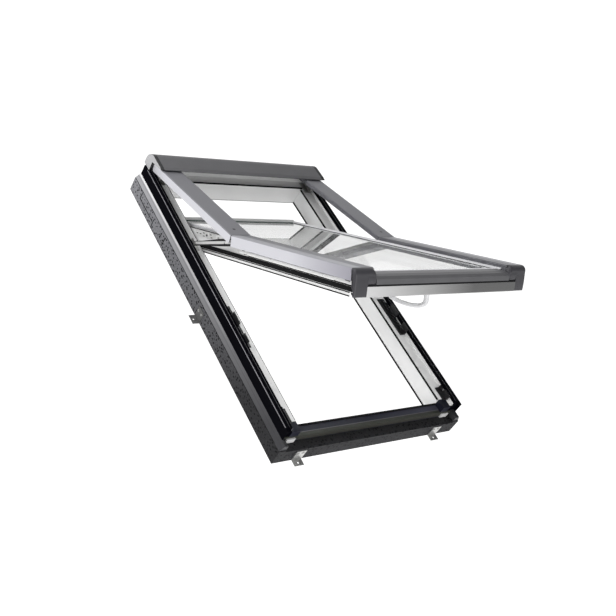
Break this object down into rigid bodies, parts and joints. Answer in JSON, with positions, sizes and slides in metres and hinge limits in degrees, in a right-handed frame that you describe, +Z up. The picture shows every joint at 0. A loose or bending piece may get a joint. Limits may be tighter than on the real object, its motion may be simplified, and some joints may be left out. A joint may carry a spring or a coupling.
{
  "type": "roof skylight",
  "caption": "Top-hung pivoting roof window, standing open on two upper arms in its own insulated frame, with double glazing, covers and an inside handle.",
  "frame": {"origin": "middle of the sill's room-side face, where the insulation sits on the roof", "axes": "+X to the right as seen from outside, +Y into the building, +Z up; the frame lies on a roof pitched at 45 degrees that rises towards +Y"},
  "size_m": [0.811, 1.1918, 0.971],
  "materials": {
    "anthracite_aluminium": "satin powder coat",
    "dark_plastic": "fine grain",
    "white_plastic": "smooth",
    "black_rubber": "matt",
    "foam": "beaded",
    "black_cover": "gloss",
    "steel": "zinc plated",
    "bright_aluminium": "satin",
    "glass": "clear"
  },
  "bodies": {
    "frame": {"bracket_screws": "steel", "collar_left": "foam", "collar_right": "foam", "frame_head": "white_plastic", "frame_jamb_left": "white_plastic", "frame_jamb_right": "white_plastic", "frame_sill": "white_plastic", "head_cap_left": "dark_plastic", "head_cap_right": "dark_plastic", "head_clips": "dark_plastic", "head_cover": "anthracite_aluminium", "hinge_bracket_left": "steel", "hinge_bracket_right": "steel", "hinge_pins": "steel", "insulation_head": "foam", "insulation_left": "foam", "insulation_right": "foam", "insulation_sill": "foam", "jamb_cover_left": "black_cover", "jamb_cover_right": "black_cover", "keeper_left": "dark_plastic", "keeper_right": "dark_plastic", "ledge_seal": "black_rubber", "lock_rail_left": "dark_plastic", "lock_rail_right": "dark_plastic", "roof_bracket_left": "steel", "roof_bracket_right": "steel", "roof_brackets_head": "steel", "roof_brackets_sill": "steel", "room_seal": "black_rubber", "sill_cover": "black_cover", "sill_plugs": "white_plastic", "stay_brackets": "steel"},
    "arms": {"arm_cover_left": "anthracite_aluminium", "arm_cover_right": "anthracite_aluminium", "arm_bar_left": "steel", "arm_bar_right": "steel", "pivot_pins": "steel"},
    "stays": {"stay_left": "steel", "stay_right": "steel"},
    "sash": {"sash_top_rail": "white_plastic", "sash_bottom_rail": "white_plastic", "sash_stile_left": "white_plastic", "sash_stile_right": "white_plastic", "outer_pane": "glass", "inner_pane": "glass", "pane_spacer": "bright_aluminium", "glazing_seal": "black_rubber", "sash_seals": "black_rubber", "top_rail_cover": "bright_aluminium", "side_cover_left": "anthracite_aluminium", "side_cover_right": "anthracite_aluminium", "front_cover": "anthracite_aluminium", "front_strip": "bright_aluminium", "front_cap_left": "dark_plastic", "front_cap_right": "dark_plastic", "pivot_plates": "steel", "lock_rods": "steel", "handle_base": "white_plastic"},
    "handle": {"handle": "white_plastic"}
  },
  "joints": [
    {"name": "arm_hinge", "type": "hinge", "parent": "frame", "child": "arms", "pos_m": [0, 0.69275, 0.87886], "axis": [-1, 0, 0], "range_deg": [-16.5, 1.5]},
    {"name": "sash_pivot", "type": "hinge", "parent": "arms", "child": "sash", "pos_m": [0, 0.23884, 0.63241], "axis": [-1, 0, 0], "range_deg": [-19.25, 1.75]},
    {"name": "stay_pivot", "type": "hinge", "parent": "frame", "child": "stays", "pos_m": [0, 0.47447, 0.63286], "axis": [-1, 0, 0], "range_deg": [-38.95, 3.54]},
    {"name": "handle_turn", "type": "hinge", "parent": "sash", "child": "handle", "pos_m": [0, -0.26333, 0.48214], "axis": [0, -0.1607, 0.987], "range_deg": [-28, 62]}
  ],
  "couplings": [
    {"joint": "sash_pivot", "follows": "arm_hinge", "ratio": 1.1667},
    {"joint": "stay_pivot", "follows": "arm_hinge", "ratio": 2.3603}
  ]
}
